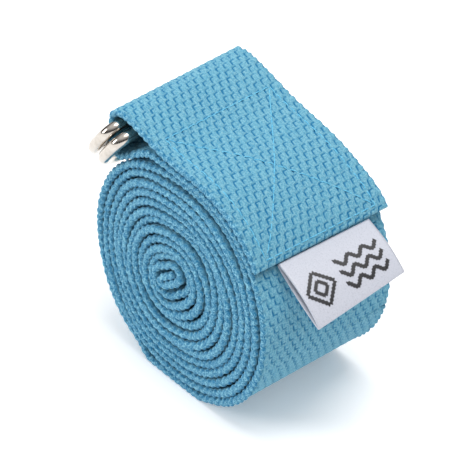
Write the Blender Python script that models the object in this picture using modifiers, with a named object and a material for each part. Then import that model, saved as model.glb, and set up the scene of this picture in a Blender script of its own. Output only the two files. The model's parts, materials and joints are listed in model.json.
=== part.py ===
"""A rolled stretching strap: cotton webbing wound on itself, its outer end looped round two wire D-rings and
sewn down with a box and cross seam that also holds a folded label.

The roll stands on its outermost turn: its axis runs along Y, +Z is up, and the loop with the rings is at the
upper left. Points in the plane across the axis are in millimetres from the roll's core, as (x, z)."""

import math

import bmesh
import bpy
from mathutils import Euler, Vector

MM = 0.001
TURN = 2 * math.pi

# Webbing
STRAP_WIDTH = 40.0
STRAP_THICKNESS = 1.65
LAYER_GAP = 0.25
HALF_WIDTH = STRAP_WIDTH / 2

# Where the core stands in the part's frame: the origin is under the middle of the bounding box.
CORE_X = -2.324
CORE_Z = 29.374

# Roll: the last turn's centreline radius every 45 degrees, counter-clockwise from +X
OUTER_RADII = (32.9, 31.9, 28.6, 30.6, 30.2, 30.3, 29.5, 32.3)
CORE_RADIUS = 5.3
CORE_OVAL = 0.9
WHOLE_TURNS = 12
FIRST_ANGLE = math.radians(75)
LAST_ANGLE = math.radians(86) + TURN * WHOLE_TURNS
STEPS_PER_TURN = 40
FOOT_FROM, FOOT_TO = -9.6, 9.6

# Parting between the wound length and the free end
PARTING_ANGLE = math.radians(-14) + TURN * WHOLE_TURNS
PARTING_GAP = 0.3

# Hem at the strap's inner end, folded back once and sewn
HEM_ANGLE = math.radians(35)
HEM_HALF_LENGTH = 2.6
HEM_LAYER = 0.97
HEM_TURN_RADIUS = 2.65
HEM_STITCH = (-0.8, 2.35)

# Free end: the layer under the flap, the loop hanging from it, and the bend where the flap begins
UNDER_LAYER = ((-4.2, 29.0), (-9.4, 30.2), (-12.8, 30.15), (-15.1, 28.3), (-17.7, 25.5), (-20.1, 23.5))
LOOP_TIP = ((-21.3, 22.85), (-22.5, 22.9), (-23.35, 23.8))
LOOP_OUTSIDE = ((-23.75, 26.2), (-23.75, 30.2), (-23.45, 32.5), (-22.2, 34.0), (-20.0, 34.55))
FLAP_START = ((-16.8, 34.4), (-10.3, 32.75), (-3.9, 31.15))
FLAP_END_ANGLE = math.radians(33.5)
LOOP_STEPS = 3

# How far the loop's far side is out from its near side, along X and Z, and where along X that sets in
LOOP_SKEW = (-4.0, 1.5)
SKEW_FROM_X, SKEW_TO_X = 15.0, -14.0

# D-rings
WIRE_DIAMETER = 3.0
RING_HALF_WIDTH = 22.7
RING_CORNER = 3.0
RING_ARM = 6.0
RING_DEPTH = 20.5
RING_SQUARENESS = 2.2
RING_STEPS = 24
BAR_OUTER = (-20.95, 31.05)
BAR_INNER = (-17.1, 30.1)
RING_LEAN = math.radians(40)
RING_OFF_CENTRE = 0.21

# Label: a strip folded in two, its free part beyond the flap's end
LABEL_FROM, LABEL_TO = -13.0, 14.0
LABEL_LENGTH = 14.8
LABEL_THICKNESS = 0.4
LABEL_SPACING = 0.95
LABEL_SLOPE = math.radians(-30)
LABEL_HINGE = (29.5, 17.45)

# Seams
THREAD_DIAMETER = 0.5
THREAD_GAP = 0.3
SEAM_INSET = 3.6
SEAM_START_X = -9.5
SEAM_END_MARGIN = 1.9
CROSS_MARGIN = 0.06
SEAM_STEPS = 16
SEAM_LIFT = STRAP_THICKNESS / 2 + THREAD_GAP + THREAD_DIAMETER / 2

# Colours
WEBBING = ((0.155, 0.445, 0.615), 0.9)
LABEL = ((0.72, 0.75, 0.81), 0.8)
THREAD = ((0.2, 0.56, 0.7), 0.75)
CHROME = ((0.82, 0.81, 0.79), 0.12)


def world(x, y, z):
    """A point given in millimetres from the core, in the part's frame."""
    return Vector(((x + CORE_X) * MM, y * MM, (z + CORE_Z) * MM))


def skewed(x, y, z):
    """A point of the free end, moved out towards its far side as the sewn loop is."""
    share = min(max((SKEW_FROM_X - x) / (SKEW_FROM_X - SKEW_TO_X), 0), 1)
    share *= share * (3 - 2 * share) * (y + HALF_WIDTH) / (2 * HALF_WIDTH)
    return world(x + LOOP_SKEW[0] * share, y, z + LOOP_SKEW[1] * share)


def spline_at(a, b, c, d, t):
    """A Catmull-Rom curve's value between b and c."""
    return 0.5 * (2 * b + (c - a) * t + (2 * a - 5 * b + 4 * c - d) * t**2 + (3 * b - a - 3 * c + d) * t**3)


def smooth_through(points, steps):
    points = [Vector(p) for p in points]
    points = [2 * points[0] - points[1], *points, 2 * points[-1] - points[-2]]
    line = []
    for k in range(len(points) - 3):
        line += [spline_at(*points[k:k + 4], step / steps) for step in range(steps)]
    return [*line, points[-2]]


def last_radius(angle):
    place = math.degrees(angle) % 360 / 45
    first = int(place)
    return spline_at(*(OUTER_RADII[(first + k) % 8] for k in (-1, 0, 1, 2)), place - first)


def turn_point(angle):
    """A point of the wound centreline. The angle counts up from the hem through every turn."""
    inner = CORE_RADIUS + CORE_OVAL * math.cos(2 * (angle - HEM_ANGLE))
    share = (angle - HEM_ANGLE) / (LAST_ANGLE - HEM_ANGLE)
    radius = inner + share * (last_radius(angle) - inner)
    return Vector((radius * math.cos(angle), radius * math.sin(angle)))


def wound(start, end):
    """The wound centreline between two angles, with points in line from turn to turn."""
    step = TURN / STEPS_PER_TURN
    between = range(math.ceil(start / step + 0.3), math.floor(end / step - 0.3) + 1)
    return [turn_point(a) for a in (start, *(k * step for k in between), end)]


def arc(x, z, radius, start, end, steps):
    angles = [start + (end - start) * k / steps for k in range(steps + 1)]
    return [Vector((x + radius * math.cos(a), z + radius * math.sin(a))) for a in angles]


def in_hem(x, z):
    """A point given along and across the hem, from the roll's core."""
    return Vector((
        x * math.cos(HEM_ANGLE) - z * math.sin(HEM_ANGLE),
        x * math.sin(HEM_ANGLE) + z * math.cos(HEM_ANGLE),
    ))


def hem_line():
    """From the raw end inside the core, round the fold and back, to where the first turn begins."""
    fold = arc(-HEM_HALF_LENGTH, 0, HEM_LAYER, math.pi / 2, 3 * math.pi / 2, 6)
    bend = arc(HEM_HALF_LENGTH, HEM_TURN_RADIUS - HEM_LAYER, HEM_TURN_RADIUS, -math.pi / 2, 0.25, 6)
    return [in_hem(*p) for p in (Vector((HEM_HALF_LENGTH, HEM_LAYER)), *fold, *bend)]


def roll_line():
    """The wound centreline from hem to parting, flattened where the last turn stands on the floor."""
    turns = wound(FIRST_ANGLE, PARTING_ANGLE - PARTING_GAP / 2 / OUTER_RADII[0])
    lowest = min(p.y for p in turns)
    for p in turns[-STEPS_PER_TURN:]:
        if FOOT_FROM < p.x < FOOT_TO and p.y < 0:
            p.y = lowest
    return hem_line() + turns


def outwards(line, distance):
    """The line moved square to itself, away from the roll's core."""
    moved = []
    for k, p in enumerate(line):
        along = line[min(k + 1, len(line) - 1)] - line[max(k - 1, 0)]
        across = Vector((-along.y, along.x)).normalized()
        moved.append(p + across * math.copysign(distance, across.dot(p)))
    return moved


def flap_line():
    """The flap's centreline, from just after the bend over the rings to its raw end."""
    under = wound(FLAP_END_ANGLE + TURN * WHOLE_TURNS, LAST_ANGLE)
    lying = outwards(under, STRAP_THICKNESS + LAYER_GAP)[::-1]
    return smooth_through((LOOP_OUTSIDE[-1], *FLAP_START, lying[0]), LOOP_STEPS)[:-1] + lying


def end_line():
    """The free end's centreline: from the parting over the top, round the loop and back along the flap."""
    under = wound(PARTING_ANGLE + PARTING_GAP / 2 / OUTER_RADII[0], LAST_ANGLE)
    loop = smooth_through((under[-1], *UNDER_LAYER, *LOOP_TIP, *LOOP_OUTSIDE), LOOP_STEPS)
    return under[:-1] + loop[:-1] + flap_line()


def along(line, distance):
    for a, b in zip(line, line[1:]):
        step = (b - a).length
        if distance <= step:
            return a.lerp(b, distance / step)
        distance -= step
    return line[-1]


def seam_line():
    """Even points over the flap, from the seam's first row to its last, at the height of a thread."""
    flap = flap_line()
    line = [p for p in flap if p.x > SEAM_START_X]
    length = sum((b - a).length for a, b in zip(line, line[1:])) - SEAM_END_MARGIN
    even = [along(line, length * k / SEAM_STEPS) for k in range(SEAM_STEPS + 1)]
    return outwards(even, SEAM_LIFT)


def box_stitch_line():
    row = seam_line()
    side = HALF_WIDTH - SEAM_INSET
    return [skewed(p.x, -side, p.y) for p in row] + [skewed(p.x, side, p.y) for p in reversed(row)]


def cross_stitch_line(direction, rise):
    """A diagonal across the box; the second one climbs over the first where they cross."""
    side = (HALF_WIDTH - SEAM_INSET) * direction
    row = outwards(seam_line(), THREAD_GAP / 2)
    line = []
    for k in range(SEAM_STEPS + 1):
        share = CROSS_MARGIN + (1 - 2 * CROSS_MARGIN) * k / SEAM_STEPS
        place = share * SEAM_STEPS
        first = min(int(place), SEAM_STEPS - 1)
        p = row[first].lerp(row[first + 1], place - first)
        from_middle = abs(share - 0.5) * SEAM_STEPS
        p = p * (1 + rise * max(0.0, 1 - (from_middle / 1.6) ** 2) / p.length)
        line.append(skewed(p.x, side * (2 * share - 1), p.y))
    return line


def ring_line():
    """A D-ring's wire about its bar's middle: the bar along Y, and the bow hanging from it."""
    straight = RING_HALF_WIDTH - RING_CORNER
    bow, corner = [], []
    for k in range(RING_STEPS + 1):
        a = math.pi * k / RING_STEPS
        across = math.copysign(abs(math.cos(a)) ** (2 / RING_SQUARENESS), math.cos(a))
        down = math.sin(a) ** (2 / RING_SQUARENESS) if 0 < k < RING_STEPS else 0
        bow.append(Vector((0, RING_HALF_WIDTH * across, -RING_ARM - (RING_DEPTH - RING_ARM) * down)))
    for k in range(4):
        a = math.pi / 2 * k / 4
        corner.append(Vector((0, -straight - RING_CORNER * math.sin(a), -RING_CORNER * (1 - math.cos(a)))))
    far_corner = [Vector((0, -p.y, p.z)) for p in corner]
    return [p * MM for p in bow + corner[::-1] + far_corner]


def material(name, colour, roughness, metallic=0.0):
    made = bpy.data.materials.new(name)
    made.use_nodes = True
    shader = made.node_tree.nodes["Principled BSDF"]
    shader.inputs["Base Color"].default_value = (*colour, 1)
    shader.inputs["Roughness"].default_value = roughness
    shader.inputs["Metallic"].default_value = metallic
    return made


def ribbon(name, line, thickness, low_y, high_y, look, parts, pivot, place=world):
    """A band of cloth: a line across the roll's axis, drawn out along Y and given its thickness."""
    at = world(pivot[0], 0, pivot[1])
    sheet = bmesh.new()
    low, high = ([sheet.verts.new(place(p.x, y, p.y) - at) for p in line] for y in (low_y, high_y))
    for k in range(len(line) - 1):
        sheet.faces.new((low[k], low[k + 1], high[k + 1], high[k]))
    data = bpy.data.meshes.new(name)
    sheet.to_mesh(data)
    sheet.free()
    data.materials.append(look)
    obj = bpy.data.objects.new(name, data)
    obj.location = at
    solidify = obj.modifiers.new("Thickness", "SOLIDIFY")
    solidify.thickness = thickness * MM
    solidify.offset = 0
    solidify.use_even_offset = True
    parts.objects.link(obj)


def wire(name, line, diameter, sides, look, parts, closed):
    """A round wire or thread along a line of points."""
    curve = bpy.data.curves.new(name, "CURVE")
    curve.dimensions = "3D"
    curve.bevel_depth = diameter / 2 * MM
    curve.bevel_resolution = sides // 2 - 2
    curve.use_fill_caps = not closed
    spline = curve.splines.new("POLY")
    spline.points.add(len(line) - 1)
    for point, place in zip(spline.points, line):
        point.co = (*place, 1)
    spline.use_cyclic_u = closed
    curve.materials.append(look)
    obj = bpy.data.objects.new(name, curve)
    parts.objects.link(obj)
    return obj


def main():
    for obj in list(bpy.data.objects):
        bpy.data.objects.remove(obj)
    parts = bpy.data.collections.new("rolled stretching strap")
    bpy.context.scene.collection.children.link(parts)
    webbing = material("webbing", *WEBBING)
    cloth = material("label cloth", *LABEL)
    thread = material("thread", *THREAD)
    chrome = material("chrome", *CHROME, metallic=1.0)

    ribbon("strap_roll", roll_line(), STRAP_THICKNESS, -HALF_WIDTH, HALF_WIDTH, webbing, parts, (0, 0))
    parting = turn_point(PARTING_ANGLE)
    parting *= 1 + STRAP_THICKNESS / 2 / parting.length
    end = end_line()
    ribbon("strap_end", end, STRAP_THICKNESS, -HALF_WIDTH, HALF_WIDTH, webbing, parts, parting, skewed)

    bar_way = Vector((LOOP_SKEW[0], 2 * HALF_WIDTH, LOOP_SKEW[1]))
    turned = Vector((0, 1, 0)).rotation_difference(bar_way) @ Euler((0, RING_LEAN, 0)).to_quaternion()
    for name, bar in (("d_ring_outer", BAR_OUTER), ("d_ring_inner", BAR_INNER)):
        ring = wire(name, ring_line(), WIRE_DIAMETER, 12, chrome, parts, closed=True)
        ring.location = skewed(bar[0], RING_OFF_CENTRE, bar[1])
        ring.rotation_euler = turned.to_euler()

    half = LABEL_SPACING / 2
    fold = arc(LABEL_LENGTH - half, 0, half, math.pi / 2, -math.pi / 2, 6)
    hinge = Vector(LABEL_HINGE)
    hanging = [hinge + Vector((
        p.x * math.cos(LABEL_SLOPE) - p.y * math.sin(LABEL_SLOPE),
        p.x * math.sin(LABEL_SLOPE) + p.y * math.cos(LABEL_SLOPE),
    )) for p in (Vector((0, half)), *fold, Vector((0, -half)))]
    ribbon("label", hanging, LABEL_THICKNESS, LABEL_FROM, LABEL_TO, cloth, parts, hinge)

    wire("box_stitch", box_stitch_line(), THREAD_DIAMETER, 8, thread, parts, closed=True)
    over = THREAD_DIAMETER + THREAD_GAP
    wire("cross_stitch_first", cross_stitch_line(1, 0), THREAD_DIAMETER, 8, thread, parts, closed=False)
    wire("cross_stitch_second", cross_stitch_line(-1, over), THREAD_DIAMETER, 8, thread, parts, closed=False)
    side = HALF_WIDTH - SEAM_INSET
    row = in_hem(*HEM_STITCH)
    hem_row = [world(row.x, y, row.y) for y in (-side, side)]
    wire("hem_stitch", hem_row, THREAD_DIAMETER, 8, thread, parts, closed=False)


main()
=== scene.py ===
"""The looks of a rolled stretching strap: cotton webbing with a brick-like weave, wound on itself, its sewn
outer end looped round two chromed D-rings, with a folded satin label under the flap.

Lengths in the plane across the roll's axis are in millimetres from the roll's core, as (x, z), until world()
turns them into the row frame."""

import json
import math

import bpy
import numpy as np
from mathutils import Euler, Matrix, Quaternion, Vector

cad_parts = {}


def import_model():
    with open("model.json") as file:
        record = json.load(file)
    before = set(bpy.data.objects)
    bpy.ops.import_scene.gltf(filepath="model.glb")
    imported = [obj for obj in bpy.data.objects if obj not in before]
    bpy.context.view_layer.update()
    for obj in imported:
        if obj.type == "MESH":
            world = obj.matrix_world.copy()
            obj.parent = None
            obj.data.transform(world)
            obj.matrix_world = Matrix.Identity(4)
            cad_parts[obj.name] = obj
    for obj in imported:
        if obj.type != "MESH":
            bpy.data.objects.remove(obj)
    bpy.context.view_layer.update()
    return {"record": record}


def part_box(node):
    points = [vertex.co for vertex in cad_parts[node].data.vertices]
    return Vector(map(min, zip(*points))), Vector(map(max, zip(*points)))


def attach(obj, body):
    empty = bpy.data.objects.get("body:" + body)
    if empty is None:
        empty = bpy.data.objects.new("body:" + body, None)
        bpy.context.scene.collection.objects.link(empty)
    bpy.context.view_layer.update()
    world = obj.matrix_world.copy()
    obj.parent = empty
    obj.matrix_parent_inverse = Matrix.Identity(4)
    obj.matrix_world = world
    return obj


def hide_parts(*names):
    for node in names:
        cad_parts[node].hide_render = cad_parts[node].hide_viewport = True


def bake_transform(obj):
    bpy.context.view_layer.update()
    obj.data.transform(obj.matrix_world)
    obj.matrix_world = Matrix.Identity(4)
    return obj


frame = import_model()

MM = 0.001
TURN = 2 * math.pi
JOINTS = {joint["name"]: joint for joint in frame["record"]["behaviour"]["joints"]}

# The core's place in the row frame, from the wound length's box
LEFT_OF_CORE, BELOW_CORE = 29.53, 29.374
ROLL_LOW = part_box("strap_roll")[0]
CORE = np.array([ROLL_LOW[0] / MM + LEFT_OF_CORE, ROLL_LOW[2] / MM + BELOW_CORE])

# Webbing, its outermost turn, the loop and the flap, as in the CAD
WIDTH = 40.0
THICKNESS = 1.65
LAYER_GAP = 0.25
WHOLE_TURNS = 12
OUTER_RADII = (32.9, 31.9, 28.6, 30.6, 30.2, 30.3, 29.5, 32.3)
HEM_ANGLE = math.radians(35)
HEM_LAYER = 0.97
FIRST_ANGLE = math.radians(75)
LAST_ANGLE = math.radians(86) + TURN * WHOLE_TURNS
PARTING_ANGLE = math.radians(-14) + TURN * WHOLE_TURNS
FLAP_END_ANGLE = math.radians(33.5) + TURN * WHOLE_TURNS
LOOP_TIP = ((-21.3, 22.85), (-22.5, 22.9), (-23.35, 23.8))
LOOP_OUTSIDE = ((-23.75, 26.2), (-23.75, 30.2), (-23.45, 32.5), (-22.2, 34.0), (-20.0, 34.55))
FLAP_START = ((-16.8, 34.4), (-10.3, 32.75), (-3.9, 31.15))

# Softer than in the CAD: a tighter core and hem, a shorter foot, the layer under the loop close to the roll
CORE_RADIUS = 4.35
CORE_OVAL = 1.5
CORE_SNUG = 1.2
HEM_HALF_LENGTH = 3.0
HEM_TURN_RADIUS = 2.05
HEM_STITCH = (-0.8, 2.2)
FOOT_HALF, FOOT_ROUND = 8.8, 13.5
UNDER_LAYER = ((-4.2, 29.0), (-8.9, 29.1), (-11.9, 28.0), (-14.2, 26.7), (-17.2, 24.8), (-19.9, 23.3))
CORNER_EASE = 0.7

# From here outwards the weave's full detail is modelled, also where the flap covers it at rest
UNCOVERED_ANGLE = math.radians(-18) + TURN * (WHOLE_TURNS - 1)
STEP = 0.25
FINE_COLUMNS = 0.23

# The wound turns stand out in steps towards the near side, the core furthest
CORE_PROUD = 1.0

# The free end's loop lies further out on the far side, the roll is a little smaller there, which the flap
# stops following near its end, and the flap's end hangs lower on the near side
LOOP_SKEW = (-4.0, 1.5)
SKEW_FROM_X, SKEW_TO_X = 15.0, -14.0
TAPER = 2.0
TAPER_LIFTS = 14.0
FLAP_ASKEW = math.radians(3.0)

# Weave: ribs of warp side by side, each a row of long floats, neighbours half a float apart
RIB = 1.18
FLOAT = 4.33
RELIEF = 0.34
END_GAP, SIDE_GAP, FURROW = 0.25, 0.27, 0.20
SELVEDGE = 0.72
SELVEDGE_PITCH = FLOAT / 2
MEAN_TURN_PITCH = 2.02

# D-rings
WIRE_RADIUS = 1.5
RING_HALF_WIDTH = 22.5
RING_CORNER = 3.0
RING_ARM = 6.0
RING_DEPTH = 19.7
RING_SQUARENESS = 2.2
RING_LEAN = math.radians(40)

# Seams: the flap's sewn box and cross, and the hem's one row
THREAD_RADIUS = 0.16
HEM_THREAD_RADIUS = 0.2
STITCH = 2.6
STITCH_SINK, STITCH_RISE = 0.44, 0.50
CROSS_RISE, CROSS_REACH = 0.4, 0.9
SEAM_INSET = 3.6
SEAM_START_X = -7.5
SEAM_LONGEST, SEAM_END_MARGIN = 61, 1.9

# Label: a strip folded in two, from its root under the flap's end, longer on its near side
LABEL_EDGE, LABEL_WIDTH = 13, 27
LABEL_ROOT, LABEL_LENGTH = -1.5, 14.55
LABEL_HALF_GAP, LABEL_SPREAD = 0.22, 0.55
LABEL_SLOPE = math.radians(-30)
LABEL_BEND = (-1.0, 2.5)
LABEL_NEAR, LABEL_FAR = 1.05, 0.90
LABEL_HALF_THICKNESS = 0.16
LABEL_STATIONS = 60

# The label's motif: two nested diamonds, each a half-diagonal and a stroke width, and a block of waves
DIAMONDS = ((4.1, 0.85), (1.9, 0.8))
DIAMOND_CENTRE = (-7.6, 9.4)
WAVES_FROM, WAVES_TO = -1.2, 11.6
FIRST_WAVE, WAVE_SPACING, WAVE_HEIGHT, WAVE_RATE, WAVE_STROKE = 6.4, 3.0, 0.85, 1.45, 0.95

# Camera: where it aims, in the plane across the roll's axis, and its direction, distance in metres and roll
CAMERA_AIM = (-3.65, 3.6)
CAMERA_AZIMUTH, CAMERA_ELEVATION, CAMERA_ROLL = math.radians(50.4), math.radians(33.8), math.radians(1.3)
CAMERA_DISTANCE = 0.55
CAMERA_LENS, CAMERA_SENSOR = 182.7, 36

# Studio, in metres and watts: name, place, aim, size, power and colour of each light
FLOOR_HALF = 3.0
LIGHTS = (
    ("key", (0.14, 0.05, 0.88), (0, 0, 0.04), 0.50, 5.0, (1, 0.99, 0.97)),
    ("near", (-0.50, -0.68, 0.34), (0, 0, 0.03), 0.40, 3.2, (1, 1, 1)),
)


def world(points, y=0.0):
    """Points across the roll's axis, in millimetres from the core, as rows of x, y, z in the row frame."""
    points = np.asarray(points, float)
    y = np.broadcast_to(y, points.shape[:-1])
    return np.stack([points[..., 0] + CORE[0], y, points[..., 1] + CORE[1]], axis=-1) * MM


def smoothstep(low, high, x):
    t = np.clip((x - low) / (high - low), 0, 1)
    return t * t * (3 - 2 * t)


def spline_at(a, b, c, d, t):
    return 0.5 * (2 * b + (c - a) * t + (2 * a - 5 * b + 4 * c - d) * t**2 + (3 * b - a - 3 * c + d) * t**3)


def smooth_through(points, steps=24):
    points = np.asarray(points, float)
    points = np.vstack([2 * points[0] - points[1], points, 2 * points[-1] - points[-2]])
    t = (np.arange(steps) / steps)[:, None]
    return np.vstack([spline_at(*points[k:k + 4], t) for k in range(len(points) - 3)] + [points[-2]])


def last_radius(angle):
    place = np.degrees(angle) % 360 / 45
    first = place.astype(int)
    radii = np.array(OUTER_RADII)
    return spline_at(*(radii[(first + k) % 8] for k in (-1, 0, 1, 2)), place - first)


def turn_share(angle):
    return (angle - HEM_ANGLE) / (LAST_ANGLE - HEM_ANGLE)


def turns(start, end):
    """The wound centreline between two angles."""
    angle = np.linspace(start, end, max(2, int((end - start) / 0.02)))
    share = turn_share(angle)
    inner = CORE_RADIUS + CORE_OVAL * np.cos(2 * (angle - HEM_ANGLE))
    radius = inner + share * (last_radius(angle) - inner)
    uneven = 0.10 * np.sin(2.31 * angle + 1) + 0.08 * np.sin(0.77 * angle)
    radius += uneven * smoothstep(0, 0.1, 1 - share) * smoothstep(0, 0.06, share)
    past = angle - HEM_ANGLE - math.radians(320)
    snug = CORE_SNUG * np.clip(1 - past / (3.5 * TURN), 0, 1) * np.clip(np.cos(past), 0, 1)
    radius -= snug * smoothstep(-2.4, -1.4, past)
    return np.stack([radius * np.cos(angle), radius * np.sin(angle)], axis=-1)


def arc(x, z, radius, start, end, steps=24):
    a = np.linspace(start, end, steps)
    return np.stack([x + radius * np.cos(a), z + radius * np.sin(a)], axis=-1)


def turned(points, angle):
    points = np.asarray(points, float)
    c, s = math.cos(angle), math.sin(angle)
    x, z = points[..., 0], points[..., 1]
    return np.stack([x * c - z * s, x * s + z * c], axis=-1)


def normals_of(line):
    """Unit normals on the left of the line's direction."""
    along = np.gradient(line, axis=0)
    along /= np.linalg.norm(along, axis=1)[:, None]
    return np.stack([-along[:, 1], along[:, 0]], axis=-1)


def lengths_of(line):
    return np.concatenate([[0], np.cumsum(np.linalg.norm(np.diff(line, axis=0), axis=1))])


def resampled(line, step):
    lengths = lengths_of(line)
    even = np.linspace(0, lengths[-1], int(round(lengths[-1] / step)) + 1)
    return np.stack([np.interp(even, lengths, line[:, k]) for k in (0, 1)], axis=-1)


def relaxed(line, reach, step):
    """The line with its corners eased over about that reach, its ends kept."""
    half = int(3 * reach / step)
    weights = np.exp(-0.5 * (np.arange(-half, half + 1) * step / reach) ** 2)
    weights /= weights.sum()
    before, after = 2 * line[0] - line[half:0:-1], 2 * line[-1] - line[-2:-half - 2:-1]
    long = np.vstack([before, line, after])
    return np.stack([np.convolve(long[:, k], weights, "valid") for k in (0, 1)], axis=-1)


def strap_line():
    """The whole strap's centreline from the hem's raw end to the flap's, and the stations at which the fine
    weave begins and the two lengths part."""
    fold = arc(-HEM_HALF_LENGTH, 0, HEM_LAYER, math.pi / 2, 3 * math.pi / 2)
    bend = arc(HEM_HALF_LENGTH, HEM_TURN_RADIUS - HEM_LAYER, HEM_TURN_RADIUS, -math.pi / 2, 0.25)
    hem = turned(np.vstack([[(HEM_HALF_LENGTH, HEM_LAYER)], fold, bend]), HEM_ANGLE)
    wound = turns(FIRST_ANGLE, LAST_ANGLE)
    last = np.arange(len(wound)) > len(wound) * 0.9
    lowest = wound[:, 1].min()
    flat = last & (wound[:, 1] < 0)
    share = smoothstep(FOOT_ROUND, FOOT_HALF, np.abs(wound[:, 0])) * flat
    wound[:, 1] += (lowest - wound[:, 1]) * share
    lying = turns(FLAP_END_ANGLE, LAST_ANGLE)
    lying = (lying - normals_of(lying) * (THICKNESS + LAYER_GAP))[::-1]
    loop = smooth_through([wound[-1], *UNDER_LAYER, *LOOP_TIP, *LOOP_OUTSIDE, *FLAP_START, lying[0]])
    line = np.vstack([hem, wound[:-1], loop[:-1], lying])
    line = relaxed(resampled(line, STEP), CORNER_EASE, STEP)
    marks = []
    for angle in (UNCOVERED_ANGLE, PARTING_ANGLE):
        place = turns(angle, angle + 0.01)[0]
        marks.append(int(np.linalg.norm(line - place, axis=1).argmin()))
    return line, marks


def weave(across, along):
    """Height of the woven face, 0 in the gaps and 1 on the floats. Ribs of staggered floats: where a float
    comes up, a gap crosses its rib and another runs from there down the rib's near side, leaning outwards."""
    rib = np.floor(across / RIB)
    x = across / RIB - rib - 0.5
    wobble = 0.03 * np.sin(rib * 12.9898) + 0.025 * np.sin(along * 0.9 + rib * 4.1)
    t = np.mod(along / FLOAT + 0.5 * np.mod(rib, 2) + wobble, 1)
    t_next = np.mod(t + 0.5, 1)
    to_start = np.mod(t + 0.03 * x + 0.5, 1) - 0.5
    gap = 0.85 * np.exp(-(to_start * FLOAT / END_GAP) ** 2)
    for from_line, t_line in ((x + 0.5 + 0.7 * t, t), (x - 0.5 + 0.7 * t_next, t_next)):
        fade = 1 - smoothstep(0.22, 0.50, t_line)
        gap = np.maximum(gap, fade * np.exp(-(from_line * RIB / SIDE_GAP) ** 2))
    cell = np.floor(along / FLOAT + 0.5 * np.mod(rib, 2) + wobble)
    gap *= 0.80 + 0.40 * hashed(rib, cell)
    gap = np.maximum(gap, 0.35 * np.exp(-((0.5 - np.abs(x)) * RIB / FURROW) ** 2))
    crown = 1 - 0.14 * (2 * x) ** 2 - 0.10 * (2 * t - 1) ** 4
    return np.clip(crown - gap, 0, 1)


def hashed(*values):
    """Repeatable noise from 0 to 1 for arrays of numbers."""
    total = sum(v * k for v, k in zip(values, (12.9898, 78.233, 37.719)))
    return np.mod(np.sin(total) * 43758.5453, 1)


def mesh_object(name, points, faces, attributes):
    data = bpy.data.meshes.new(name)
    data.from_pydata(points.tolist(), [], faces)
    data.polygons.foreach_set("use_smooth", [True] * len(faces))
    for key, values in attributes.items():
        attribute = data.attributes.new(key, "FLOAT", "POINT")
        attribute.data.foreach_set("value", np.asarray(values, np.float32).ravel())
    data.update()
    obj = bpy.data.objects.new(name, data)
    bpy.context.scene.collection.objects.link(obj)
    return obj


def askew(x, z, far):
    """The flap's end hangs lower towards its near side."""
    angle = FLAP_ASKEW * (1 - far) * (1 - smoothstep(40, 110, np.degrees(np.arctan2(z, x))))
    return x * np.cos(angle) + z * np.sin(angle), z * np.cos(angle) - x * np.sin(angle)


def placed(points, y, free, lifted):
    """Points of the webbing in the row frame, after the roll's taper and, in the free end, the loop's skew
    and the flap's askew end. free is 1 in the free end, and lifted is 1 where the cloth stands clear."""
    far = (y + WIDTH / 2) / WIDTH
    x, z = points[..., 0], points[..., 1]
    skew = np.clip((SKEW_FROM_X - x) / (SKEW_FROM_X - SKEW_TO_X), 0, 1)
    skew = skew**2 * (3 - 2 * skew) * far * free
    angle = np.degrees(np.arctan2(z, x))
    reach = smoothstep(-100, -40, angle) * (1 - smoothstep(60, 110, angle)) * (1 - lifted)
    x, z = askew(x, z, far * free + 1 - free)
    shrink = 1 - TAPER / OUTER_RADII[0] * far * reach
    moved = np.stack([x * shrink + LOOP_SKEW[0] * skew, z * shrink + LOOP_SKEW[1] * skew], axis=-1)
    return world(moved, y)


def loft_faces(rows, ring):
    """Faces of a closed tube of so many rows, each a ring of so many points, its two ends capped."""
    index = np.arange(rows * ring).reshape(rows, ring)
    a, b = index[:-1], np.roll(index, -1, axis=1)[:-1]
    c, d = np.roll(index, -1, axis=1)[1:], index[1:]
    faces = np.stack([a, b, c, d], axis=-1).reshape(-1, 4).tolist()
    return faces + [index[0][::-1].tolist(), index[-1].tolist()]


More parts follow.
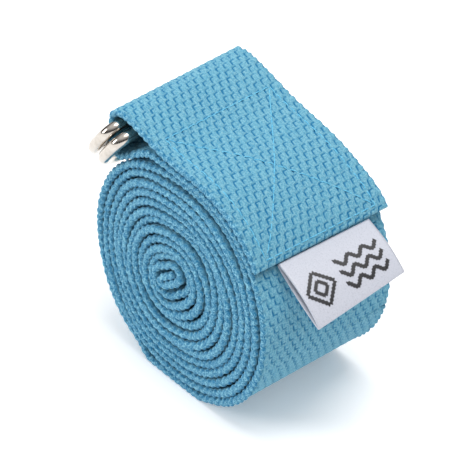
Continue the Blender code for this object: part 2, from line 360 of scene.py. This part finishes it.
def band(line, along, y_mid, columns_out, columns_in, free=0, lifted=0.0):
    """A closed length of webbing: points, faces and attributes. The outer face is the line's right side.
    columns_out and columns_in are the places across the two faces, from the near selvedge to the far one."""
    normal = normals_of(line)
    half = WIDTH / 2
    edge = np.linspace(math.pi / 2, -math.pi / 2, 9)[1:-1]
    v = along[:, None]
    end = np.minimum(along - along[0], along[-1] - along)[:, None]

    turn = math.pi * v / SELVEDGE_PITCH + 0.5 * np.sin(0.37 * v) + 0.3 * np.sin(0.91 * v + 2)
    scallop = {1: np.abs(np.sin(turn)), -1: np.abs(np.cos(turn))}
    pitch = (last_radius(np.arctan2(line[:, 1], line[:, 0])) - CORE_RADIUS) / WHOLE_TURNS
    swell = 1.0 if free else (pitch / MEAN_TURN_PITCH)[:, None]

    def edge_half(sign):
        """Half the cloth's thickness at the selvedge, where the weft turns back every other pick."""
        return THICKNESS / 2 * (0.56 + 0.72 * scallop[sign]) * swell

    def face(columns, sign, shift):
        u = columns[None, :]
        relief_shade = weave(u + shift, v + shift * 1.7)
        inside = smoothstep(half - 0.75, half - 1.6, np.abs(u))
        offset = inside * (THICKNESS / 2 - RELIEF * (1 - relief_shade)) + (1 - inside) * edge_half(sign)
        # Towards the selvedges the colour's relief value follows the scallops: painted shade in their dips.
        relief_shade = inside * relief_shade + (1 - inside) * (0.50 + 0.35 * scallop[sign])
        return np.broadcast_to(u, relief_shade.shape), sign * offset, relief_shade

    def selvedge(side):
        """The rounded edge: short twisted wraps of weft and fuzz."""
        angle = edge[None, :]
        wrap = np.abs(np.sin(turn + 1.1 * angle)) ** 0.8
        grain = hashed(np.round(v * 4), angle * 7 + side) - 0.5
        reach = 0.50 + 0.30 * wrap + 0.12 * grain
        u = side * (half - SELVEDGE + reach * np.cos(angle))
        offset = -np.sin(angle) * np.where(angle > 0, edge_half(1), edge_half(-1))
        # Its relief value is painted shade: darker towards the two faces and between the wraps, with random
        # grain.
        return u, offset, np.cos(angle) ** 0.5 * (0.15 + 0.70 * wrap) + 0.35 * grain

    out_u, out_n, out_r = face(columns_out, 1, 0.0)
    in_u, in_n, in_r = face(columns_in[::-1], -1, 0.5 * RIB)
    far_u, far_n, far_r = selvedge(1)
    near_u, near_n, near_r = selvedge(-1)
    across = np.hstack([out_u, far_u, in_u, near_u[:, ::-1]])
    offset = np.hstack([out_n, -far_n, in_n, -near_n[:, ::-1]])
    relief_shade = np.hstack([out_r, far_r, in_r, near_r[:, ::-1]])
    offset = offset * (1 - 0.5 * (1 - smoothstep(0, 0.5, end)))
    x = line[:, None, :] - normal[:, None, :] * offset[..., None]
    points = placed(x, across + y_mid[:, None], free, lifted)
    attributes = {
        "relief_shade": relief_shade,
        "across": across,
        "along": np.broadcast_to(v, across.shape),
        "rim": smoothstep(half - 0.8, half - 0.4, np.abs(across)),
    }
    return points.reshape(-1, 3), loft_faces(*across.shape), attributes


def face_volume(points, faces):
    """Positive where the four-sided faces turn outwards, about the points' own middle."""
    quads = np.array([f for f in faces if len(f) == 4])
    p = points[quads]
    return np.einsum("ij,ij->", np.cross(p[:, 0], p[:, 1]), p[:, 2]) + np.einsum(
        "ij,ij->", np.cross(p[:, 0], p[:, 2]), p[:, 3])


def joined(parts):
    """Several closed lengths as the arrays of one mesh, each turned to face out."""
    points, faces, attributes, first = [], [], {}, 0
    for part_points, part_faces, part_attributes in parts:
        if face_volume(part_points - part_points.mean(0), part_faces) < 0:
            part_faces = [f[::-1] for f in part_faces]
        points.append(part_points)
        faces += [[i + first for i in f] for f in part_faces]
        for key, values in part_attributes.items():
            attributes.setdefault(key, []).append(np.asarray(values).ravel())
        first += len(part_points)
    return np.vstack(points), faces, {key: np.concatenate(v) for key, v in attributes.items()}


def even_columns(step):
    """Evenly spaced places across a face that shows."""
    half = WIDTH / 2 - SELVEDGE
    return np.linspace(-half, half, int(2 * half / step) + 1)


def edge_columns():
    """Places across a face whose middle is hidden between two turns."""
    half = WIDTH / 2 - SELVEDGE
    near = half - np.array([0, 0.25, 0.5, 0.75, 1.0, 1.3, 1.6, 2.0, 2.5, 3.2])
    return np.concatenate([-near, [-half * 0.5, 0, half * 0.5], near[::-1]])


def stand_out(line_count, wound_count):
    """How far each station lies towards the near side: turns telescoped, each a little on its own."""
    k = np.arange(line_count)
    share = np.clip(k / wound_count, 0, 1)
    settle = smoothstep(0, 0.12, 1 - share)
    wander = 0.34 * np.sin(k * 0.021 + 0.4) + 0.38 * np.sin(k * 0.0113 + 2) + 0.14 * np.sin(k * 0.061)
    return -CORE_PROUD * (1 - share) - wander * settle


# ---------------------------------------------------------------- materials

def material(name):
    made = bpy.data.materials.new(name)
    made.use_nodes = True
    nodes = made.node_tree.nodes
    return made, nodes, made.node_tree.links, nodes["Principled BSDF"]


def linear(*srgb):
    """An sRGB colour, 0 to 255, as linear RGBA."""
    value = np.array(srgb) / 255
    return (*np.where(value <= 0.04045, value / 12.92, ((value + 0.055) / 1.055) ** 2.4), 1.0)


def attribute_node(nodes, name):
    node = nodes.new("ShaderNodeAttribute")
    node.attribute_name = name
    return node.outputs["Fac"]


def math_node(nodes, links, operation, a, b=None):
    node = nodes.new("ShaderNodeMath")
    node.operation = operation
    for socket, value in zip(node.inputs, (a, b)):
        if value is None:
            continue
        if isinstance(value, (int, float)):
            socket.default_value = value
        else:
            links.new(value, socket)
    return node.outputs[0]


def mixed(nodes, links, factor, a, b):
    node = nodes.new("ShaderNodeMix")
    node.data_type = "RGBA"
    for socket, value in ((node.inputs["Factor"], factor), (node.inputs[6], a), (node.inputs[7], b)):
        if isinstance(value, (int, float, tuple)):
            socket.default_value = value
        else:
            links.new(value, socket)
    return node.outputs[2]


def noise(nodes, links, vector, scale, detail=2.0):
    node = nodes.new("ShaderNodeTexNoise")
    node.inputs["Scale"].default_value = scale
    node.inputs["Detail"].default_value = detail
    links.new(vector, node.inputs["Vector"])
    return node.outputs["Fac"]


def ranged(nodes, links, value, low, high):
    node = nodes.new("ShaderNodeMapRange")
    node.inputs["From Min"].default_value = low
    node.inputs["From Max"].default_value = high
    links.new(value, node.inputs["Value"])
    return node.outputs["Result"]


def toned(nodes, links, value, low, high, dark, light):
    """A colour from dark to light as the value goes from low to high."""
    return mixed(nodes, links, ranged(nodes, links, value, low, high), dark, light)


def cotton_webbing():
    """Dyed cotton: painted shade in the gaps of the weave and the dips of the selvedges, fine yarns along it,
    pale fibres on the selvedges.
    """
    made, nodes, links, shader = material("cotton webbing")
    relief_shade, rim = attribute_node(nodes, "relief_shade"), attribute_node(nodes, "rim")
    place = nodes.new("ShaderNodeCombineXYZ")
    links.new(math_node(nodes, links, "MULTIPLY", attribute_node(nodes, "across"), 5.0), place.inputs["X"])
    links.new(attribute_node(nodes, "along"), place.inputs["Y"])
    yarns = noise(nodes, links, place.outputs[0], 0.9, 3)
    spot = nodes.new("ShaderNodeTexCoord").outputs["Object"]
    flecks = noise(nodes, links, spot, 2600, 4)
    patches = noise(nodes, links, spot, 260, 3)
    base = toned(nodes, links, yarns, 0.40, 0.90, linear(95, 163, 189), linear(120, 180, 200))
    heather = toned(nodes, links, flecks, 0.40, 0.60, linear(34, 112, 154), linear(158, 202, 210))
    base = mixed(nodes, links, 0.38, base, heather)
    pale = toned(nodes, links, patches, 0.40, 0.70, base, linear(100, 168, 192))
    base = mixed(nodes, links, 0.30, base, pale)
    worn = toned(nodes, links, flecks, 0.40, 0.62, linear(36, 112, 154), linear(138, 198, 218))
    base = mixed(nodes, links, math_node(nodes, links, "MULTIPLY", rim, 0.85), base, worn)
    # Painted shade: the colour darkens where the weave's relief is low, in its gaps and in the selvedges'
    # dips.
    base = toned(nodes, links, relief_shade, 0.10, 0.66, linear(30, 114, 158), base)
    links.new(base, shader.inputs["Base Color"])
    links.new(ranged(nodes, links, flecks, -1.0, 0.9), shader.inputs["Roughness"])
    shader.inputs["Sheen Weight"].default_value = 0.08
    shader.inputs["Sheen Roughness"].default_value = 0.6
    shader.inputs["Specular IOR Level"].default_value = 0.08
    bump = nodes.new("ShaderNodeBump")
    bump.inputs["Strength"].default_value = 0.8
    bump.inputs["Distance"].default_value = 0.08 * MM
    fuzz = math_node(nodes, links, "ADD", yarns, flecks)
    links.new(fuzz, bump.inputs["Height"])
    links.new(bump.outputs[0], shader.inputs["Normal"])
    return made


def sewing_thread():
    made, nodes, links, shader = material("sewing thread")
    spot = nodes.new("ShaderNodeTexCoord").outputs["Object"]
    twist = noise(nodes, links, spot, 3500, 2)
    base = toned(nodes, links, twist, 0.35, 0.65, linear(56, 162, 208), linear(116, 200, 226))
    links.new(base, shader.inputs["Base Color"])
    links.new(ranged(nodes, links, twist, -0.6, 1.4), shader.inputs["Roughness"])
    shader.inputs["Sheen Weight"].default_value = 0.2
    bump = nodes.new("ShaderNodeBump")
    bump.inputs["Distance"].default_value = 0.03 * MM
    links.new(twist, bump.inputs["Height"])
    links.new(bump.outputs[0], shader.inputs["Normal"])
    return made


def satin_label(name, dark, light, roughness):
    """Woven label cloth: very fine picks across it."""
    made, nodes, links, shader = material(name)
    spot = nodes.new("ShaderNodeTexCoord").outputs["Object"]
    wave = nodes.new("ShaderNodeTexWave")
    wave.bands_direction = "Y"
    wave.inputs["Scale"].default_value = 1100
    wave.inputs["Distortion"].default_value = 1.5
    links.new(spot, wave.inputs["Vector"])
    cloud = noise(nodes, links, spot, 3000, 3)
    picks = math_node(nodes, links, "MULTIPLY", wave.outputs["Fac"], 0.4)
    tone = math_node(nodes, links, "ADD", picks, cloud)
    base = toned(nodes, links, tone, 0.3, 1.0, dark, light)
    links.new(base, shader.inputs["Base Color"])
    links.new(ranged(nodes, links, cloud, 0.5 - roughness, 1.5), shader.inputs["Roughness"])
    shader.inputs["Sheen Weight"].default_value = 0.15
    bump = nodes.new("ShaderNodeBump")
    bump.inputs["Strength"].default_value = 0.5
    bump.inputs["Distance"].default_value = 0.02 * MM
    links.new(wave.outputs["Fac"], bump.inputs["Height"])
    links.new(bump.outputs[0], shader.inputs["Normal"])
    return made


def chromed_wire():
    made, nodes, links, shader = material("chromed wire")
    spot = nodes.new("ShaderNodeTexCoord").outputs["Object"]
    wear = noise(nodes, links, spot, 500, 5)
    base = toned(nodes, links, wear, 0.35, 0.8, linear(206, 200, 192), linear(176, 168, 158))
    links.new(base, shader.inputs["Base Color"])
    rough = nodes.new("ShaderNodeMapRange")
    rough.inputs["To Min"].default_value = 0.10
    rough.inputs["To Max"].default_value = 0.22
    links.new(wear, rough.inputs["Value"])
    links.new(rough.outputs["Result"], shader.inputs["Roughness"])
    shader.inputs["Metallic"].default_value = 1.0
    bump = nodes.new("ShaderNodeBump")
    bump.inputs["Strength"].default_value = 0.25
    bump.inputs["Distance"].default_value = 0.03 * MM
    links.new(wear, bump.inputs["Height"])
    links.new(bump.outputs[0], shader.inputs["Normal"])
    return made


# ---------------------------------------------------------------- pieces

def lift_off(line):
    """How far each station stands clear of the tapered roll: only the flap's sewn-down end does."""
    to_end = lengths_of(line[::-1])[::-1]
    return 1 - smoothstep(0, TAPER_LIFTS, to_end)


def build_strap(look):
    """The wound length and the free end, which part where the CAD's two lengths do."""
    line, (uncovered, parting) = strap_line()
    along = np.arange(len(line)) * STEP
    y_mid = stand_out(len(line), parting)
    hidden = slice(0, uncovered + 1, 2)
    shown = slice(uncovered, parting + 1)
    free = slice(parting, len(line))
    fine, edges = even_columns(FINE_COLUMNS), edge_columns()
    roll_parts = [
        band(line[hidden], along[hidden], y_mid[hidden], edges, edges),
        band(line[shown], along[shown], y_mid[shown], fine, edges),
    ]
    roll = mesh_object("wound_webbing", *joined(roll_parts))
    lifted = lift_off(line)[free, None]
    end_part = band(line[free], along[free], y_mid[free], fine, fine, 1, lifted)
    end = mesh_object("free_end_webbing", *joined([end_part]))
    for obj in (roll, end):
        obj.data.materials.append(look)
    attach(roll, "roll")
    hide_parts("strap_roll")
    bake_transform(end)
    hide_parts("strap_end")
    return line


def tube(name, path, radius, sides, look, closed=False):
    """A round wire along points given in the row frame, in metres."""
    curve = bpy.data.curves.new(name, "CURVE")
    curve.dimensions = "3D"
    curve.bevel_depth = radius * MM
    curve.bevel_resolution = sides // 2 - 2
    curve.use_fill_caps = not closed
    spline = curve.splines.new("POLY")
    spline.points.add(len(path) - 1)
    spline.points.foreach_set("co", np.hstack([path, np.ones((len(path), 1))]).ravel())
    spline.use_cyclic_u = closed
    spline.use_smooth = True
    curve.materials.append(look)
    obj = bpy.data.objects.new(name, curve)
    bpy.context.scene.collection.objects.link(obj)
    return obj


def ring_path():
    """A D-ring's wire about its bar's middle: the bar along Y and the bow below it."""
    straight = RING_HALF_WIDTH - RING_CORNER
    a = np.linspace(0, math.pi, 97)
    across = np.sign(np.cos(a)) * np.abs(np.cos(a)) ** (2 / RING_SQUARENESS) * RING_HALF_WIDTH
    down = -RING_ARM - (RING_DEPTH - RING_ARM) * np.clip(np.sin(a), 0, 1) ** (2 / RING_SQUARENESS)
    bow = np.stack([across, down], axis=-1)
    near = arc(-straight, -RING_CORNER, RING_CORNER, math.pi, math.pi / 2, 12)
    far = arc(straight, -RING_CORNER, RING_CORNER, math.pi / 2, 0, 12)
    bar = np.stack([np.linspace(-straight, straight, 30)[1:-1], np.zeros(28)], axis=-1)
    path = np.vstack([bow, near, bar, far])
    return np.stack([np.zeros(len(path)), path[:, 0], path[:, 1]], axis=-1) * MM


def build_rings(look):
    for name, joint, body, node in (
        ("outer_d_ring", "outer_ring_swing", "outer_ring", "d_ring_outer"),
        ("inner_d_ring", "inner_ring_swing", "inner_ring", "d_ring_inner"),
    ):
        ring = tube(name, ring_path(), WIRE_RADIUS, 28, look, closed=True)
        ring.location = JOINTS[joint]["pos_m"]
        along_bar = Vector((0, 1, 0)).rotation_difference(Vector(JOINTS[joint]["axis"]))
        ring.rotation_euler = (along_bar @ Euler((0, RING_LEAN, 0)).to_quaternion()).to_euler()
        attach(ring, body)
        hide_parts(node)


def flap_stations(line):
    """The sewn part of the flap: its centreline, evenly spaced, its normals and how far it stands clear."""
    sewn = np.arange(len(line)) > len(line) - int(SEAM_LONGEST / STEP)
    sewn &= line[:, 0] > SEAM_START_X
    sewn[-int(SEAM_END_MARGIN / STEP):] = False
    return line[sewn], normals_of(line[sewn]), lift_off(line)[sewn]


def stitched(stations, normals, lifted, across, crossing=0.0):
    """A seam's thread: flat on the cloth, and down into it at every needle hole. crossing is 1 for a thread
    that is sewn over another at its middle."""
    path = placed(stations, across, 1, lifted)
    run = np.concatenate([[0], np.cumsum(np.linalg.norm(np.diff(path, axis=0), axis=1))]) / MM
    hump = np.abs(np.sin(math.pi * run / STITCH)) ** 0.7
    height = THICKNESS / 2 - STITCH_SINK + STITCH_RISE * hump
    height = height + CROSS_RISE * np.exp(-(((run - run[-1] / 2) / CROSS_REACH) ** 2)) * crossing
    return placed(stations + normals * height[:, None], across, 1, lifted)


def build_seams(line, look):
    stations, normals, lifted = flap_stations(line)
    side = WIDTH / 2 - SEAM_INSET
    count = len(stations)
    near = stitched(stations, normals, lifted, np.full(count, -side))
    far = stitched(stations, normals, lifted, np.full(count, side))
    rows = []
    for k in (count - 1, 0):
        y = np.linspace(-side, side, 130) * (1 if k else -1)
        across_row = [np.repeat(values[k:k + 1], len(y), 0) for values in (stations, normals, lifted)]
        rows.append(stitched(*across_row, y))
    box = np.vstack([near, rows[0][1:], far[::-1][1:], rows[1][1:-1]])
    box = tube("box_seam", box, THREAD_RADIUS, 8, look, closed=True)
    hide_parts("box_stitch")
    share = np.linspace(0, 1, count)
    threads = [box]
    for name, node, way, over in (
        ("first_cross_seam", "cross_stitch_first", 1, 0.0),
        ("second_cross_seam", "cross_stitch_second", -1, 1.0),
    ):
        path = stitched(stations, normals, lifted, way * side * (2 * share - 1), crossing=over)
        thread = tube(name, path[3:-3], THREAD_RADIUS, 8, look)
        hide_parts(node)
        threads.append(thread)
    for thread in threads:
        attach(thread, "free_end")
    y = np.linspace(-side, side, 160)
    place = turned(HEM_STITCH, HEM_ANGLE)
    hem = tube("hem_seam", world(np.repeat(place[None], 160, 0), y), HEM_THREAD_RADIUS, 8, look)
    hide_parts("hem_stitch")
    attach(hem, "roll")


def label_surface():
    """The folded label's line from its upper cut end round the fold to its lower one, and where it hinges."""
    reach, gap = LABEL_LENGTH, LABEL_HALF_GAP
    hinge = np.array(JOINTS["label_lift"]["pos_m"])[[0, 2]] / MM - CORE
    x = np.linspace(LABEL_ROOT, reach, LABEL_STATIONS)
    open_by = LABEL_SPREAD * np.sin(math.pi * np.clip((x - LABEL_ROOT) / (reach - LABEL_ROOT), 0, 1)) ** 0.8
    sag = 0.35 * np.sin(math.pi * np.clip(x / reach, 0, 1))
    top = np.stack([x, gap + open_by + sag], axis=-1)
    under = np.stack([x, -gap - open_by * 1.2 + sag * 0.7], axis=-1)[::-1]
    fold = arc(reach, 0, gap, math.pi / 2, -math.pi / 2, 10)
    line = np.vstack([top, fold[1:-1], under])
    return hinge + turned(line, LABEL_SLOPE), hinge


def label_place(points, hinge, y):
    """Points of the label's line at places along it: it is folded a little askew, longer on its near side."""
    out = points[:, None, :] - hinge
    length = LABEL_NEAR + (LABEL_FAR - LABEL_NEAR) * (y + LABEL_EDGE) / LABEL_WIDTH
    at = hinge + out * length[..., None]
    far = np.broadcast_to((y + WIDTH / 2) / WIDTH, at.shape[:-1])
    return world(np.stack(askew(at[..., 0], at[..., 1], far), axis=-1), y + np.zeros(at.shape[:-1]))


def build_label(cloth, ink):
    low, high = (corner[1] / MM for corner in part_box("label"))
    line, hinge = label_surface()
    normal = normals_of(line)
    half = LABEL_HALF_THICKNESS
    y = np.linspace(low, high, 46)
    outer = label_place(line + normal * half, hinge, y[None, :])
    inner = label_place(line - normal * half, hinge, y[None, :])
    rows = len(line)
    points = np.stack([outer, inner]).reshape(-1, 3)
    index = np.arange(len(points)).reshape(2, rows, len(y))
    faces = []

    def quad(*corners):
        return [int(index[corner]) for corner in corners]

    for i in range(rows - 1):
        for j in range(len(y) - 1):
            faces.append(quad((0, i, j), (0, i, j + 1), (0, i + 1, j + 1), (0, i + 1, j)))
            faces.append(quad((1, i, j), (1, i + 1, j), (1, i + 1, j + 1), (1, i, j + 1)))
        for j in (0, len(y) - 1):
            side = quad((0, i, j), (0, i + 1, j), (1, i + 1, j), (1, i, j))
            faces.append(side if j == 0 else side[::-1])
    for j in range(len(y) - 1):
        for i in (0, rows - 1):
            end = quad((0, i, j), (1, i, j), (1, i, j + 1), (0, i, j + 1))
            faces.append(end if i == 0 else end[::-1])
    label = mesh_object("folded_label", *joined([(points, faces, {})]))
    label.data.materials.append(cloth)
    start, end = (world(hinge + turned((along, 0), LABEL_SLOPE)) for along in LABEL_BEND)
    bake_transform(label)
    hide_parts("label")
    motif = build_motif(line[:LABEL_STATIONS], normal[:LABEL_STATIONS], hinge, ink)
    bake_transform(motif)


def build_motif(line, normal, hinge, ink):
    """A plain woven pattern on the label: two nested diamonds and three waves."""
    lengths = lengths_of(line)
    parts = []

    def down_label(values, v):
        """The label line's places or normals at lengths v down it."""
        return np.stack([np.interp(v, lengths, values[:, k]) for k in (0, 1)], axis=-1)

    def stroke(u, v, width):
        """A raised bar along the places u across and v down the label, with the picks' jagged sides."""
        du, dv = np.gradient(u), np.gradient(v)
        size = np.hypot(du, dv)
        nu, nv = -dv / size, du / size
        corners = []
        for side, lift in ((1, 0.05), (1, 0.25), (-1, 0.25), (-1, 0.05)):
            jag = 0.09 * np.sign(np.sin(np.arange(len(u)) * math.pi / 2 + 0.5)) * side
            uu, vv = u + nu * (side * width / 2 + jag), v + nv * (side * width / 2 + jag)
            raised = down_label(line, vv) + down_label(normal, vv) * lift
            corners.append(label_place(raised, hinge, uu[:, None])[:, 0])
        points = np.stack(corners, axis=1)
        parts.append((points.reshape(-1, 3), loft_faces(len(u), len(corners)), {}))

    t = np.linspace(0.02, 0.98, 26)[:, None]
    for half_diagonal, width in DIAMONDS:
        corner = np.array([(0, -1), (1, 0), (0, 1), (-1, 0)]) * half_diagonal
        for k in range(4):
            side = np.array(DIAMOND_CENTRE) + corner[k] * (1 - t) + corner[(k + 1) % 4] * t
            stroke(side[:, 0], side[:, 1], width)
    u = np.linspace(WAVES_FROM, WAVES_TO, 110)
    for k in range(3):
        stroke(u, FIRST_WAVE + WAVE_SPACING * k + WAVE_HEIGHT * np.sin(u * WAVE_RATE), WAVE_STROKE)
    motif = mesh_object("woven_motif", *joined(parts))
    motif.data.polygons.foreach_set("use_smooth", [False] * len(motif.data.polygons))
    motif.data.materials.append(ink)
    return motif


# ---------------------------------------------------------------- studio

def area_light(name, place, aim, size, power, colour):
    light = bpy.data.lights.new(name, "AREA")
    light.shape = "RECTANGLE"
    light.size = light.size_y = size
    light.energy = power
    light.color = colour
    obj = bpy.data.objects.new(name, light)
    obj.location = place
    direction = np.array(aim) - np.array(place)
    obj.rotation_euler = Vector(direction).to_track_quat("-Z", "Y").to_euler()
    bpy.context.scene.collection.objects.link(obj)


def build_camera():
    camera = bpy.data.cameras.new("camera")
    camera.lens = CAMERA_LENS
    camera.sensor_width = CAMERA_SENSOR
    camera.clip_start = 0.01
    obj = bpy.data.objects.new("camera", camera)
    level_part = math.cos(CAMERA_ELEVATION)
    back = np.array([
        math.sin(CAMERA_AZIMUTH) * level_part,
        -math.cos(CAMERA_AZIMUTH) * level_part,
        math.sin(CAMERA_ELEVATION),
    ])
    obj.location = world(CAMERA_AIM) + back * CAMERA_DISTANCE
    level = Vector(-back).to_track_quat("-Z", "Y")
    obj.rotation_euler = (Quaternion(Vector(back), CAMERA_ROLL) @ level).to_euler()
    bpy.context.scene.collection.objects.link(obj)
    bpy.context.scene.camera = obj


def build_floor():
    made, _, _, shader = material("studio floor")
    shader.inputs["Base Color"].default_value = (0.96, 0.96, 0.96, 1)
    shader.inputs["Roughness"].default_value = 0.8
    shader.inputs["Emission Color"].default_value = (1, 1, 1, 1)
    shader.inputs["Emission Strength"].default_value = 0.22
    corners = np.array([(-1, -1, 0), (1, -1, 0), (1, 1, 0), (-1, 1, 0)]) * FLOOR_HALF
    floor = mesh_object("floor", corners, [[0, 1, 2, 3]], {})
    floor.data.materials.append(made)


def build_sky():
    """Soft light from above, dimmer towards the horizon."""
    studio = bpy.data.worlds.new("studio")
    studio.use_nodes = True
    nodes, links = studio.node_tree.nodes, studio.node_tree.links
    up = nodes.new("ShaderNodeSeparateXYZ")
    links.new(nodes.new("ShaderNodeTexCoord").outputs["Generated"], up.inputs[0])
    height = ranged(nodes, links, up.outputs["Z"], 0.34, 0.88)
    sky = mixed(nodes, links, height, (0.10, 0.10, 0.105, 1), (1.0, 1.0, 1.02, 1))
    links.new(sky, nodes["Background"].inputs["Color"])
    bpy.context.scene.world = studio
    bpy.context.scene.view_settings.view_transform = "Standard"


build_camera()
build_floor()
build_sky()
for light in LIGHTS:
    area_light(*light)
strap = build_strap(cotton_webbing())
build_rings(chromed_wire())
build_seams(strap, sewing_thread())
build_label(
    satin_label("satin label", linear(184, 188, 199), linear(198, 201, 212), 0.5),
    satin_label("woven ink", linear(14, 14, 16), linear(38, 38, 42), 0.6),
)
